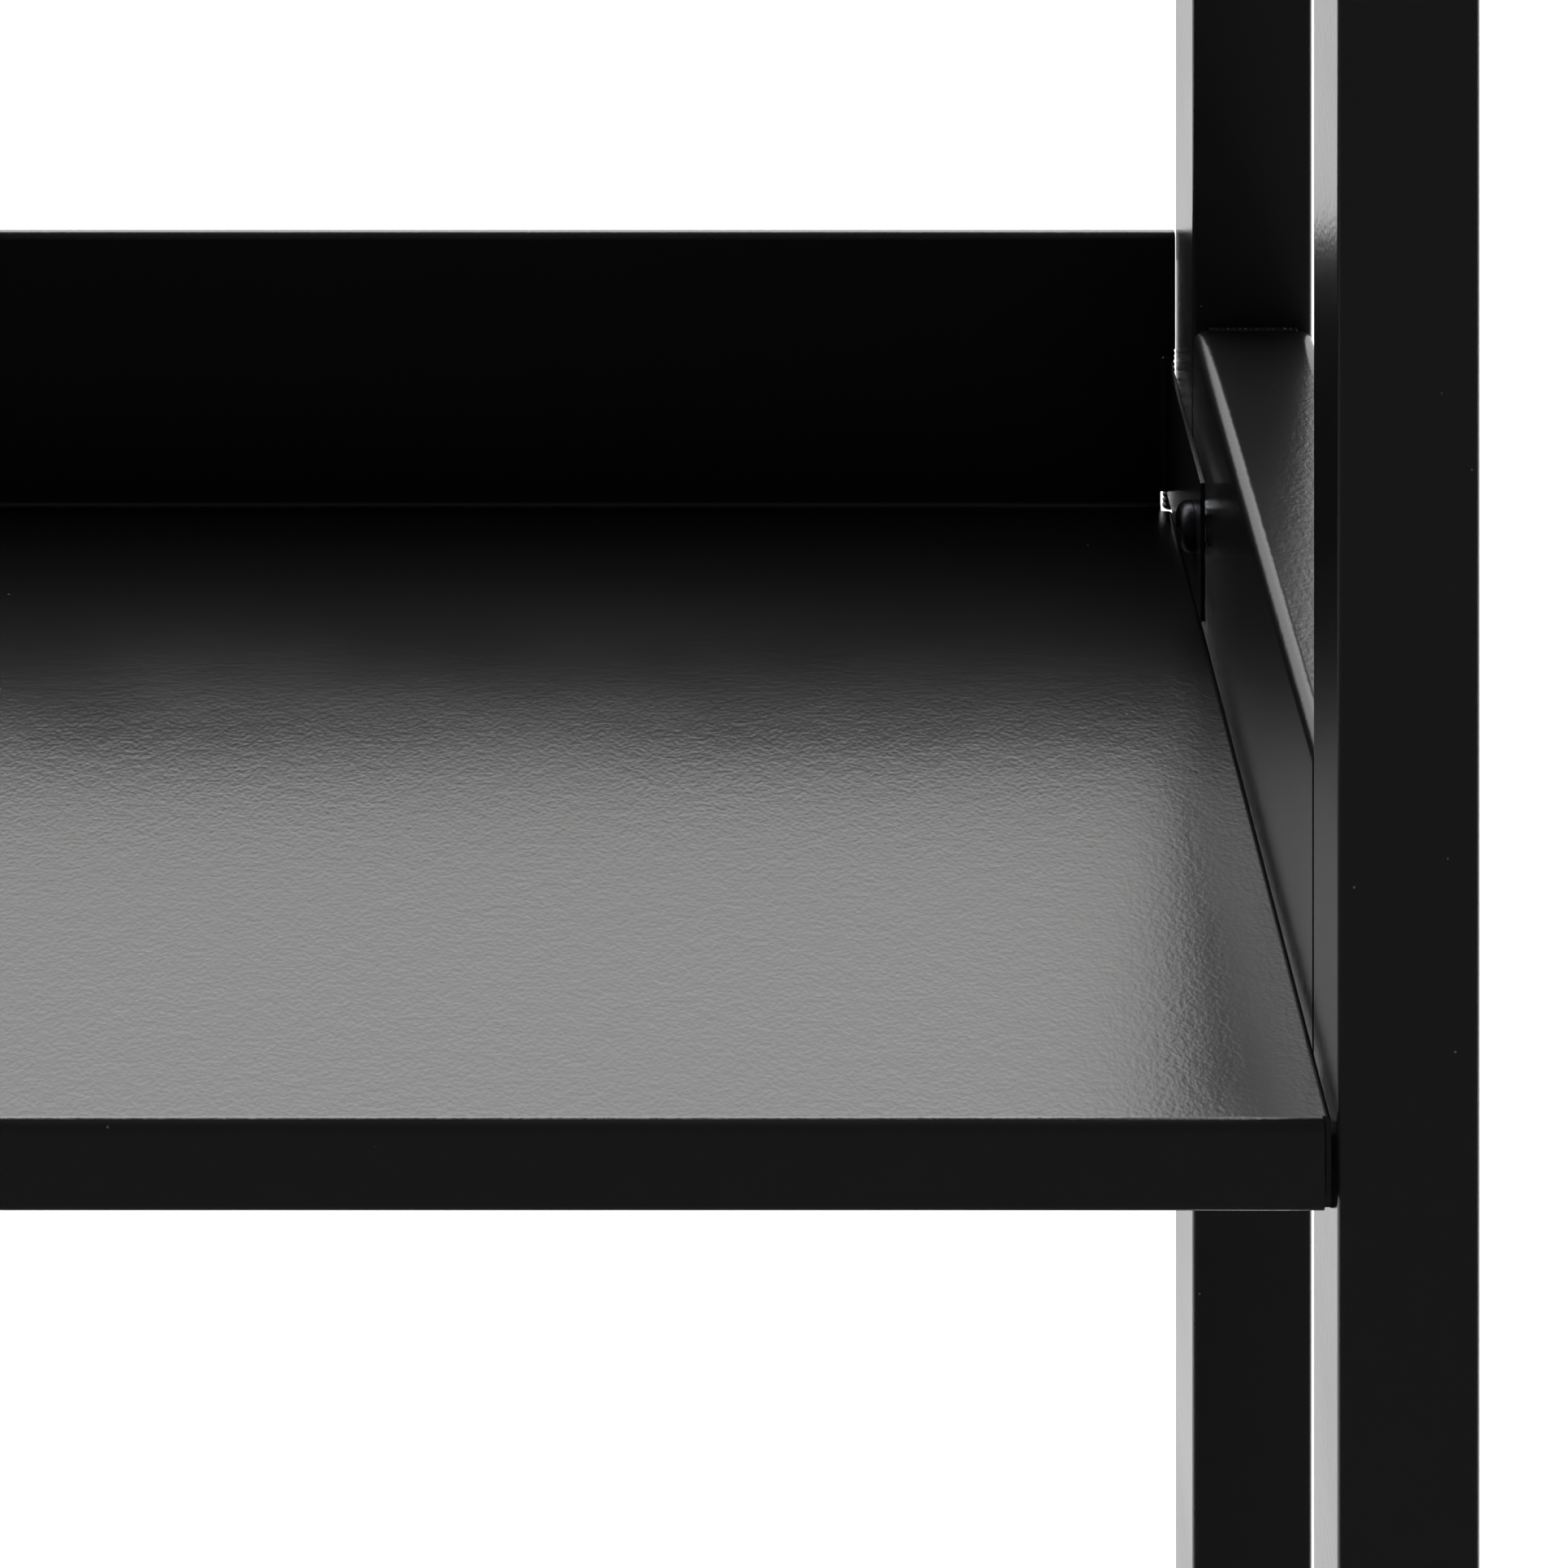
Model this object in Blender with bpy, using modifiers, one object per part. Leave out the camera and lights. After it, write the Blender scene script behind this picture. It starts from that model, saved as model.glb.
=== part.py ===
"""Over-the-toilet storage rack: a square-tube steel frame that carries three folded sheet-steel trays.

+X is to the right, +Y towards the wall, +Z up. The origin is on the floor, below the middle of the rack.
"""
import math

import bmesh
import bpy
from mathutils import Matrix, Vector

# ---- driving dimensions, in metres -------------------------------------------------------------

FRAME_WIDTH = 0.640          # over the outer faces of the posts
FRAME_DEPTH = 0.225          # over the front and rear faces of the posts
FRAME_HEIGHT = 1.700         # floor to the top of the post caps

POST_SIZE = 0.030            # square tube
POST_WALL = 0.0015
POST_CORNER = 0.0018

TRAY_RAIL_HEIGHT = 0.070     # rectangular tube on edge, as wide as the posts
TRAY_RAIL_WALL = 0.0015
TRAY_RAIL_CORNER = 0.0038
TRAY_RAIL_RISE = 0.060       # top of the rail above the tray's floor

LOW_RAIL_HEIGHT = 0.030
LOW_RAIL_LEVEL = 0.100       # middle of the low side rails above the floor

STRETCHER_SIZE = 0.025       # square tube across the back, behind the toilet
STRETCHER_LEVEL = 0.200      # middle of the stretcher above the floor

TRAY_LEVELS = {"lower": 0.880, "middle": 1.220, "upper": 1.560}   # tray floors above the ground
SHEET = 0.0012
BEND = 0.0015                # bend radius of the folds
LIP_BEND = 0.0025            # softer bend between the tray's floor and its front lip
LIP_HEIGHT = 0.0193
LIP_END_GAP = 0.0028         # front lip to each front post
SIDE_GAP = 0.0010            # folded side of the tray to the rails and posts
SIDE_FLANGE_WIDTH = 0.020
BACK_WALL_HEIGHT = 0.070
HEM_GAP = 0.0008             # slot inside a folded hem
HEM_HEIGHT = 0.008

EAR_RELIEF = 0.0025          # bottom of an ear above the fold of the back wall
EAR_HEIGHT = 0.034
EAR_BOLT_RISE = 0.020        # bolt above the tray's floor
EAR_BOLT_REACH = 0.016       # bolt in front of the rear post
EAR_MARGIN = 0.012           # ear past its bolt

TAB_DROP = 0.018             # top of a tab below the tray's floor
TAB_THICKNESS = 0.003
TAB_WIDTH = 0.030
TAB_DEPTH = 0.022
TAB_SETBACK = 0.0045         # tab behind the front face of the posts

BOLT_RADIUS = 0.003          # M6 button-head bolts
BOLT_HEAD_RADIUS = 0.0058
BOLT_HEAD_HEIGHT = 0.0036
BOLT_SOCKET_RADIUS = 0.0023
BOLT_SOCKET_DEPTH = 0.0018
TRAY_BOLT_LENGTH = 0.012

NUT_RADIUS = 0.0045          # rivet nuts in the tray rails
NUT_FLANGE_RADIUS = 0.0065
NUT_FLANGE = 0.0008
NUT_LENGTH = 0.014

CAP_FLANGE = 0.003
CAP_PLUG_DEPTH = 0.014
FOOT_INSERT_FLANGE = 0.0025
FOOT_INSERT_DEPTH = 0.022

STUD_RADIUS = 0.004          # M8 levelling feet
STUD_LENGTH = 0.034
STUD_COLLAR_RADIUS = 0.0075
STUD_COLLAR_HEIGHT = 0.005
STUD_NECK_RADIUS = 0.003
STUD_NECK_LENGTH = 0.005
PAD_RADIUS = 0.014
PAD_HEIGHT = 0.008
PAD_TREAD = 0.0022           # below the bottom of the pad's socket
FOOT_OPENING = 0.006         # from the stud's collar to the foot insert, as delivered

STRETCHER_PLUG_DEPTH = 0.028

TOUCH = 0.0003               # gap between pieces that touch or are welded
HOLE_CLEARANCE = 0.0003      # radial, round bolts and studs
PLUG_CLEARANCE = 0.0003      # round plastic plugs inside a tube

BEND_STEPS = 3
TUBE_CORNER_STEPS = 3
ROUND_STEPS = 16
MERGE = 0.00001

# ---- derived places ----------------------------------------------------------------------------

POST_X = (FRAME_WIDTH - POST_SIZE) / 2
POST_Y = (FRAME_DEPTH - POST_SIZE) / 2
INNER_X = FRAME_WIDTH / 2 - POST_SIZE            # inner faces of the posts and of the tray rails
FRONT_Y = -FRAME_DEPTH / 2
REAR_Y = FRAME_DEPTH / 2
RAIL_LENGTH = FRAME_DEPTH - 2 * POST_SIZE - 2 * TOUCH
FOOT_HEIGHT = PAD_HEIGHT + TOUCH + STUD_COLLAR_HEIGHT + FOOT_OPENING + FOOT_INSERT_FLANGE + TOUCH
POST_LENGTH = FRAME_HEIGHT - FOOT_HEIGHT - CAP_FLANGE - TOUCH
HEM_THICKNESS = 2 * SHEET + HEM_GAP

SIDES = {"left": -1, "right": 1}
ENDS = {"front": -1, "rear": 1}

# ---- helpers -----------------------------------------------------------------------------------


def clear_scene():
    for old in list(bpy.data.objects):
        bpy.data.objects.remove(old, do_unlink=True)


def make_collection(name):
    collection = bpy.data.collections.new(name)
    bpy.context.scene.collection.children.link(collection)
    return collection


def make_material(name, color, roughness, metallic):
    material = bpy.data.materials.new(name)
    material.use_nodes = True
    shader = material.node_tree.nodes["Principled BSDF"]
    shader.inputs["Base Color"].default_value = (*color, 1.0)
    shader.inputs["Roughness"].default_value = roughness
    shader.inputs["Metallic"].default_value = metallic
    return material


FINISHES = {
    "powder_coat": ((0.012, 0.012, 0.013), 0.38, 0.0),
    "black_zinc": ((0.02, 0.02, 0.02), 0.35, 0.7),
    "bright_zinc": ((0.55, 0.56, 0.58), 0.35, 1.0),
    "black_plastic": ((0.015, 0.015, 0.015), 0.55, 0.0),
    "foot_rubber": ((0.02, 0.02, 0.02), 0.8, 0.0),
}


def add_piece(name, mesh, place, finish, parent):
    """One physical piece: its own object with its own material."""
    piece = bpy.data.objects.new(name, mesh)
    RACK.objects.link(piece)
    piece.location = place
    piece.parent = parent
    color, roughness, metallic = FINISHES[finish]
    mesh.materials.append(make_material(name + "_" + finish, color, roughness, metallic))
    return piece


def add_empty(name, place):
    empty = bpy.data.objects.new(name, None)
    empty.location = place
    RACK.objects.link(empty)
    return empty


def mesh_from(bm, name):
    bmesh.ops.recalc_face_normals(bm, faces=bm.faces)
    mesh = bpy.data.meshes.new(name)
    bm.to_mesh(mesh)
    bm.free()
    return mesh


def combine(piece, mesh, operation):
    """Add or subtract a hidden helper solid that is made in the piece's own coordinates."""
    helper = bpy.data.objects.new(mesh.name, mesh)
    CUTTERS.objects.link(helper)
    helper.parent = piece
    helper.hide_render = True
    helper.display_type = "WIRE"
    boolean = piece.modifiers.new(mesh.name, "BOOLEAN")
    boolean.operation = operation
    boolean.solver = "EXACT"
    boolean.object = helper


def along(axis):
    """Rotation that turns +Z to the named axis."""
    direction = {"X": Vector((1, 0, 0)), "Y": Vector((0, 1, 0)), "Z": Vector((0, 0, 1))}[axis]
    return Vector((0, 0, 1)).rotation_difference(direction).to_matrix().to_4x4()


def block(bm, size, center=(0, 0, 0), corner=0.0, axis=None, steps=TUBE_CORNER_STEPS):
    """A box; the four edges along the axis, or all of its edges, are rounded."""
    made = bmesh.ops.create_cube(bm, size=1.0)
    bmesh.ops.scale(bm, vec=size, verts=made["verts"])
    bmesh.ops.translate(bm, vec=center, verts=made["verts"])
    if corner <= 0:
        return
    edges = {edge for vert in made["verts"] for edge in vert.link_edges}
    if axis is not None:
        index = "XYZ".index(axis)
        edges = {edge for edge in edges if abs(edge.verts[0].co[index] - edge.verts[1].co[index]) > MERGE}
    bmesh.ops.bevel(bm, geom=list(edges), affect="EDGES", offset=corner, segments=steps, profile=0.5,
                    material=-1)


def rod(bm, radius, length, axis, center, steps=ROUND_STEPS):
    bmesh.ops.create_cone(bm, cap_ends=True, segments=steps, radius1=radius, radius2=radius, depth=length,
                          matrix=Matrix.Translation(center) @ along(axis))


def tube(name, size, length, axis, wall, corner, place, parent):
    """Square or rectangular tube with open ends; size is its two outer sides, in X, Y, Z order."""
    index = "XYZ".index(axis)
    sides = list(size)
    sides.insert(index, length)
    bm = bmesh.new()
    block(bm, sides, corner=corner, axis=axis)
    ends = [face for face in bm.faces if abs(face.normal[index]) > 0.9]
    bmesh.ops.delete(bm, geom=ends, context="FACES")
    piece = add_piece(name, mesh_from(bm, name), place, "powder_coat", parent)
    shell = piece.modifiers.new("wall", "SOLIDIFY")
    shell.thickness = wall
    shell.offset = -1
    shell.use_even_offset = True
    return piece


def turned(name, profile, place, finish, parent, turn="Z", steps=ROUND_STEPS):
    """A turned piece from its profile of (radius, height) points, which runs down its outer side.

    A profile that comes back to its first point makes a ring.
    """
    bm = bmesh.new()
    ring = profile[0] == profile[-1]
    points = [bm.verts.new((radius, 0, height)) for radius, height in profile[:-1 if ring else None]]
    if ring:
        points.append(points[0])
    for upper, lower in zip(points, points[1:]):
        bm.edges.new((upper, lower))
    mesh = bpy.data.meshes.new(name)
    bm.to_mesh(mesh)
    bm.free()
    piece = add_piece(name, mesh, place, finish, parent)
    piece.rotation_euler = TURNS[turn]
    screw = piece.modifiers.new("turn", "SCREW")
    screw.angle = math.tau
    screw.steps = steps
    screw.render_steps = steps
    screw.use_merge_vertices = True
    screw.merge_threshold = MERGE
    screw.use_smooth_shade = True
    return piece


TURNS = {
    "Z": (0, 0, 0),
    "-Z": (math.pi, 0, 0),
    "X": (0, math.pi / 2, 0),
    "-X": (0, -math.pi / 2, 0),
}


def bolt(name, length, place, head_towards, parent):
    """Button-head bolt with a hexagon socket; its origin is under the head."""
    dome = []
    arc_steps = 4
    rim = 0.0006
    for step in range(arc_steps + 1):
        angle = math.pi / 2 * (1 - step / arc_steps)
        dome.append((BOLT_HEAD_RADIUS * math.cos(angle), rim + (BOLT_HEAD_HEIGHT - rim) * math.sin(angle)))
    dome[0] = (0, BOLT_HEAD_HEIGHT)
    profile = dome + [(BOLT_HEAD_RADIUS, 0), (BOLT_RADIUS, 0), (BOLT_RADIUS, -length), (0, -length)]
    piece = turned(name, profile, place, "black_zinc", parent, turn=head_towards)
    bm = bmesh.new()
    rod(bm, BOLT_SOCKET_RADIUS, 2 * BOLT_SOCKET_DEPTH, "Z", (0, 0, BOLT_HEAD_HEIGHT), steps=6)
    combine(piece, mesh_from(bm, name + "_socket"), "DIFFERENCE")
    return piece


def plug(name, size, flange, depth, wall, corner, place, upward, parent):
    """Push-in plug: a flange that covers the tube's end, and a body inside the tube."""
    bm = bmesh.new()
    block(bm, (size, size, flange), center=(0, 0, -upward * (flange / 2 + TOUCH)), corner=corner, axis="Z")
    piece = add_piece(name, mesh_from(bm, name), place, "black_plastic", parent)
    inner = size - 2 * wall - 2 * PLUG_CLEARANCE
    body = depth + TOUCH + flange / 2
    bm = bmesh.new()
    block(bm, (inner, inner, body), center=(0, 0, upward * (depth - body / 2)), corner=corner, axis="Z")
    combine(piece, mesh_from(bm, name + "_body"), "UNION")
    return piece


# ---- the folded tray ---------------------------------------------------------------------------


def fold(bm, edges, center, axis, angle):
    """Roll edges about an axis to make a bend; returns the edges at its far side."""
    made = bmesh.ops.spin(bm, geom=edges, cent=center, axis=axis, angle=angle, steps=BEND_STEPS)
    return [item for item in made["geom_last"] if isinstance(item, bmesh.types.BMEdge)]


def pull(bm, edges, offset):
    """Extend a flat wall from its edges; returns the edges at its far side."""
    made = bmesh.ops.extrude_edge_only(bm, edges=edges)
    verts = [item for item in made["geom"] if isinstance(item, bmesh.types.BMVert)]
    bmesh.ops.translate(bm, vec=offset, verts=verts)
    return [item for item in made["geom"] if isinstance(item, bmesh.types.BMEdge) and
            item.verts[0] in verts and item.verts[1] in verts]


def upright_edges(edges, known):
    return [edge for edge in edges if edge not in known and
            abs(edge.verts[0].co.z - edge.verts[1].co.z) > MERGE]


def tray_sheet(name):
    """The upper side of the folded sheet; its floor is at z = 0 and its walls stand on the folds."""
    floor_half = INNER_X - SIDE_GAP - BEND
    lip_half = INNER_X - LIP_END_GAP
    ear_face = INNER_X - 2 * TOUCH - NUT_FLANGE - SHEET    # inner side of an ear
    wall_half = ear_face - BEND
    hem_radius = HEM_THICKNESS / 2
    wall_y = REAR_Y - HEM_THICKNESS
    front = FRONT_Y + LIP_BEND
    rear = wall_y - BEND
    bm = bmesh.new()
    outline = [(-floor_half, front), (-lip_half, front), (lip_half, front), (floor_half, front),
               (floor_half, rear), (wall_half, rear), (-wall_half, rear), (-floor_half, rear)]
    corners = [bm.verts.new((x, y, 0)) for x, y in outline]
    floor = bm.faces.new(corners)
    floor.normal_update()
    edges = list(floor.edges)
    lip = [edges[1]]
    right = [edges[3]]
    wall = [edges[5]]
    left = [edges[7]]

    lip = fold(bm, lip, (0, front, -LIP_BEND), (1, 0, 0), math.pi / 2)
    lip = pull(bm, lip, (0, 0, LIP_BEND + hem_radius - LIP_HEIGHT))
    lip = fold(bm, lip, (0, FRONT_Y + hem_radius, hem_radius - LIP_HEIGHT), (1, 0, 0), math.pi)
    pull(bm, lip, (0, 0, HEM_HEIGHT - hem_radius))

    side_depth = TAB_DROP - TOUCH                        # the folded sides rest on the tabs
    for sign, side in ((1, right), (-1, left)):
        outer = sign * (floor_half + BEND)
        side = fold(bm, side, (sign * floor_half, 0, -BEND), (0, 1, 0), sign * math.pi / 2)
        side = pull(bm, side, (0, 0, 2 * BEND - side_depth))
        side = fold(bm, side, (outer - sign * BEND, 0, BEND - side_depth), (0, 1, 0), sign * math.pi / 2)
        pull(bm, side, (sign * (BEND - SIDE_FLANGE_WIDTH), 0, 0))

    wall = fold(bm, wall, (0, rear, BEND), (1, 0, 0), math.pi / 2)
    wall = pull(bm, wall, (0, 0, EAR_RELIEF))
    known = set(bm.edges)
    wall = pull(bm, wall, (0, 0, EAR_HEIGHT))
    ear_edges = upright_edges(bm.edges, known)
    wall = pull(bm, wall, (0, 0, EAR_RELIEF))
    for vert in wall[0].verts:                           # above the ears the wall reaches the posts
        vert.co.x = math.copysign(INNER_X - TOUCH, vert.co.x)
    wall = pull(bm, wall, (0, 0, BACK_WALL_HEIGHT - hem_radius - BEND - 2 * EAR_RELIEF - EAR_HEIGHT))
    wall = fold(bm, wall, (0, wall_y + hem_radius, BACK_WALL_HEIGHT - hem_radius), (1, 0, 0), -math.pi)
    pull(bm, wall, (0, 0, hem_radius - HEM_HEIGHT))

    ear_end = POST_SIZE + EAR_BOLT_REACH + EAR_MARGIN - HEM_THICKNESS - BEND
    for edge in ear_edges:
        sign = 1 if edge.verts[0].co.x > 0 else -1
        hinge_x = edge.verts[0].co.x
        ear = fold(bm, [edge], (hinge_x, wall_y - BEND, 0), (0, 0, 1), -sign * math.pi / 2)
        pull(bm, ear, (0, -ear_end, 0))

    bmesh.ops.recalc_face_normals(bm, faces=bm.faces)
    if floor.normal.z < 0:
        bmesh.ops.reverse_faces(bm, faces=bm.faces)
    mesh = bpy.data.meshes.new(name)
    bm.to_mesh(mesh)
    bm.free()
    return mesh


def ear_bolt_place(sign):
    """Where an ear's bolt passes the inner face of the rail, from the middle of the tray's floor."""
    return Vector((sign * INNER_X, REAR_Y - POST_SIZE - EAR_BOLT_REACH, EAR_BOLT_RISE))


def tab_bolt_place(sign):
    return Vector((sign * (INNER_X - TAB_WIDTH / 2), FRONT_Y + TAB_SETBACK + TAB_DEPTH / 2, -TAB_DROP - TAB_THICKNESS))


def add_tray(level, parent):
    piece = add_piece(level + "_tray", tray_sheet(level + "_tray"), (0, 0, 0), "powder_coat", parent)
    sheet = piece.modifiers.new("sheet", "SOLIDIFY")
    sheet.thickness = SHEET
    sheet.offset = -1
    sheet.use_even_offset = True
    bm = bmesh.new()
    for sign in SIDES.values():
        rod(bm, BOLT_RADIUS + HOLE_CLEARANCE, 8 * SHEET, "X", ear_bolt_place(sign))
        rod(bm, BOLT_RADIUS + HOLE_CLEARANCE, 4 * TAB_THICKNESS, "Z", tab_bolt_place(sign))
    combine(piece, mesh_from(bm, level + "_tray_holes"), "DIFFERENCE")


def add_tray_rail(level, side, sign, parent):
    middle = TRAY_RAIL_RISE - TRAY_RAIL_HEIGHT / 2
    rail = tube(f"{level}_{side}_rail", (POST_SIZE, TRAY_RAIL_HEIGHT), RAIL_LENGTH, "Y", TRAY_RAIL_WALL,
                TRAY_RAIL_CORNER, (sign * POST_X, 0, middle), parent)
    bm = bmesh.new()
    hole = ear_bolt_place(sign) - Vector((sign * POST_X, 0, middle))
    rod(bm, NUT_RADIUS + HOLE_CLEARANCE, POST_SIZE / 2, "X", hole)
    combine(rail, mesh_from(bm, rail.name + "_hole"), "DIFFERENCE")


def add_rivet_nut(level, side, sign, parent):
    """Flanged nut set in the rail; the bolt's thread is a plain bore here."""
    bore = BOLT_RADIUS + HOLE_CLEARANCE
    face = NUT_FLANGE + TOUCH
    profile = [(bore, face), (NUT_FLANGE_RADIUS, face), (NUT_FLANGE_RADIUS, TOUCH), (NUT_RADIUS, TOUCH),
               (NUT_RADIUS, -NUT_LENGTH), (bore, -NUT_LENGTH), (bore, face)]
    nut = turned(f"{level}_{side}_rivet_nut", profile, ear_bolt_place(sign), "bright_zinc", parent,
                 turn="-X" if sign > 0 else "X")
    return nut


def add_tray_fixings(level, side, sign, parent):
    add_rivet_nut(level, side, sign, parent)
    under_head = NUT_FLANGE + SHEET + 3 * TOUCH
    place = ear_bolt_place(sign) - Vector((sign * under_head, 0, 0))
    bolt(f"{level}_{side}_ear_bolt", TRAY_BOLT_LENGTH, place, "-X" if sign > 0 else "X", parent)

    tab_x = sign * (INNER_X - TOUCH - TAB_WIDTH / 2)
    tab_y = FRONT_Y + TAB_SETBACK + TAB_DEPTH / 2
    bm = bmesh.new()
    block(bm, (TAB_WIDTH, TAB_DEPTH, TAB_THICKNESS))
    tab = add_piece(f"{level}_{side}_tab", mesh_from(bm, "tab"),
                    (tab_x, tab_y, -TAB_DROP - TAB_THICKNESS / 2), "powder_coat", parent)
    bm = bmesh.new()
    hole = tab_bolt_place(sign) - tab.location
    rod(bm, BOLT_RADIUS + HOLE_CLEARANCE, 4 * TAB_THICKNESS, "Z", (hole.x, hole.y, 0))
    combine(tab, mesh_from(bm, tab.name + "_hole"), "DIFFERENCE")
    place = tab_bolt_place(sign) - Vector((0, 0, TOUCH))
    bolt(f"{level}_{side}_tab_bolt", TRAY_BOLT_LENGTH, place, "-Z", parent)


# ---- the frame ---------------------------------------------------------------------------------


def add_post(end, side, parent):
    y = ENDS[end] * POST_Y
    x = SIDES[side] * POST_X
    middle = FOOT_HEIGHT + POST_LENGTH / 2
    post = tube(f"{end}_{side}_post", (POST_SIZE, POST_SIZE), POST_LENGTH, "Z", POST_WALL, POST_CORNER,
                (x, y, middle), parent)
    if end == "rear":
        bm = bmesh.new()
        rod(bm, BOLT_RADIUS + HOLE_CLEARANCE, 2 * POST_SIZE, "X", (0, 0, STRETCHER_LEVEL - middle))
        combine(post, mesh_from(bm, post.name + "_hole"), "DIFFERENCE")
    plug(f"{end}_{side}_cap", POST_SIZE, CAP_FLANGE, CAP_PLUG_DEPTH, POST_WALL, POST_CORNER,
         (x, y, FOOT_HEIGHT + POST_LENGTH), -1, parent)
    insert = plug(f"{end}_{side}_foot_insert", POST_SIZE, FOOT_INSERT_FLANGE, FOOT_INSERT_DEPTH, POST_WALL,
                  POST_CORNER, (x, y, FOOT_HEIGHT), 1, parent)
    bm = bmesh.new()
    rod(bm, STUD_RADIUS + HOLE_CLEARANCE, 4 * FOOT_INSERT_DEPTH, "Z", (0, 0, 0))
    combine(insert, mesh_from(bm, insert.name + "_hole"), "DIFFERENCE")


def add_foot(end, side):
    """Levelling foot: the pad stays on the floor while the stud turns in it."""
    foot = add_empty(f"{end}_{side}_foot_axis", (SIDES[side] * POST_X, ENDS[end] * POST_Y, 0))
    socket = STUD_NECK_RADIUS + HOLE_CLEARANCE
    edge = 0.001
    pad = [(socket, PAD_HEIGHT), (STUD_COLLAR_RADIUS, PAD_HEIGHT), (PAD_RADIUS - edge, PAD_HEIGHT / 2),
           (PAD_RADIUS, PAD_HEIGHT / 2 - edge), (PAD_RADIUS, edge), (PAD_RADIUS - edge, 0), (0, 0)]
    pad = [(0, PAD_TREAD), (socket, PAD_TREAD)] + pad
    turned(f"{end}_{side}_foot_pad", pad, (0, 0, 0), "foot_rubber", foot, steps=24)
    collar_base = PAD_HEIGHT + TOUCH
    collar_top = collar_base + STUD_COLLAR_HEIGHT
    neck_end = PAD_HEIGHT - STUD_NECK_LENGTH
    stud = [(0, collar_top + STUD_LENGTH), (STUD_RADIUS - edge, collar_top + STUD_LENGTH),
            (STUD_RADIUS, collar_top + STUD_LENGTH - edge), (STUD_RADIUS, collar_top),
            (STUD_COLLAR_RADIUS, collar_top), (STUD_COLLAR_RADIUS, collar_base),
            (STUD_NECK_RADIUS, collar_base), (STUD_NECK_RADIUS, neck_end), (0, neck_end)]
    turned(f"{end}_{side}_foot_stud", stud, (0, 0, 0), "bright_zinc", foot)


def add_low_rails(parent):
    for side, sign in SIDES.items():
        tube(f"low_{side}_rail", (POST_SIZE, LOW_RAIL_HEIGHT), RAIL_LENGTH, "Y", POST_WALL, POST_CORNER,
             (sign * POST_X, 0, LOW_RAIL_LEVEL), parent)


def add_stretcher(parent):
    """Cross tube between the rear posts; a plug in each end takes a bolt that passes the post."""
    length = 2 * INNER_X - 2 * TOUCH
    tube("rear_stretcher", (STRETCHER_SIZE, STRETCHER_SIZE), length, "X", POST_WALL, POST_CORNER,
         (0, POST_Y, STRETCHER_LEVEL), parent)
    side_length = STRETCHER_SIZE - 2 * POST_WALL - 2 * PLUG_CLEARANCE
    for side, sign in SIDES.items():
        bm = bmesh.new()
        block(bm, (STRETCHER_PLUG_DEPTH, side_length, side_length))
        place = (sign * (length / 2 - STRETCHER_PLUG_DEPTH / 2 - TOUCH), POST_Y, STRETCHER_LEVEL)
        nut = add_piece(f"stretcher_{side}_nut_plug", mesh_from(bm, "nut_plug"), place, "bright_zinc", parent)
        bm = bmesh.new()
        rod(bm, BOLT_RADIUS + HOLE_CLEARANCE, 2 * STRETCHER_PLUG_DEPTH, "X", (0, 0, 0))
        combine(nut, mesh_from(bm, nut.name + "_hole"), "DIFFERENCE")
        place = (sign * (FRAME_WIDTH / 2 + TOUCH), POST_Y, STRETCHER_LEVEL)
        bolt(f"stretcher_{side}_bolt", POST_SIZE + STRETCHER_PLUG_DEPTH / 2, place,
             "X" if sign > 0 else "-X", parent)


# ---- assembly ----------------------------------------------------------------------------------

clear_scene()
RACK = make_collection("over_the_toilet_rack")
CUTTERS = make_collection("cutters")

frame_axis = add_empty("frame_axis", (0, 0, 0))
for end_name in ENDS:
    for side_name in SIDES:
        add_post(end_name, side_name, frame_axis)
        add_foot(end_name, side_name)
add_low_rails(frame_axis)
add_stretcher(frame_axis)

for level_name, height in TRAY_LEVELS.items():
    tray_axis = add_empty(level_name + "_tray_axis", (0, 0, height))
    add_tray(level_name, tray_axis)
    for side_name, side_sign in SIDES.items():
        add_tray_rail(level_name, side_name, side_sign, tray_axis)
        add_tray_fixings(level_name, side_name, side_sign, tray_axis)
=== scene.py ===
"""Looks of the over-the-toilet storage rack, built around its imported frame."""
import math

import bmesh
import bpy
from bpy.props import FloatProperty, IntProperty, PointerProperty, StringProperty
from mathutils import Matrix, Vector


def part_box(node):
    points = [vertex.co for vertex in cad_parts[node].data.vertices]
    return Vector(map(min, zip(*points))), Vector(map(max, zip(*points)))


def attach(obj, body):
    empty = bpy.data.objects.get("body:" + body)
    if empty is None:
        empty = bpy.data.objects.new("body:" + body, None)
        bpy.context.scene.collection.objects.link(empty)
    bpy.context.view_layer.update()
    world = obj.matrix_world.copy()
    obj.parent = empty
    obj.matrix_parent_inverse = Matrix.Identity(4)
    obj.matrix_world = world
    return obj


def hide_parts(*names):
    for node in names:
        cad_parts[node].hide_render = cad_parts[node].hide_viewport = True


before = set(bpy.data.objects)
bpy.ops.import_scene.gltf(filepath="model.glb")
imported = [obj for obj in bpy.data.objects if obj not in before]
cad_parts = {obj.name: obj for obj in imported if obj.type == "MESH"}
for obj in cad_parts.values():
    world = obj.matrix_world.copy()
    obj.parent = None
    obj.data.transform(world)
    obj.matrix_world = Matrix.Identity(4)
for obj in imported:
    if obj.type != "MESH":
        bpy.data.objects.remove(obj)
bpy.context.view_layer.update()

bl_info = {
    "name": "Over-the-toilet rack",
    "version": (1, 0, 0),
    "blender": (4, 5, 0),
    "location": "3D View > Sidebar > Rack",
    "description": "Builds the steel rack's visible pieces, its finishes and a small studio",
    "category": "Object",
}

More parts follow.
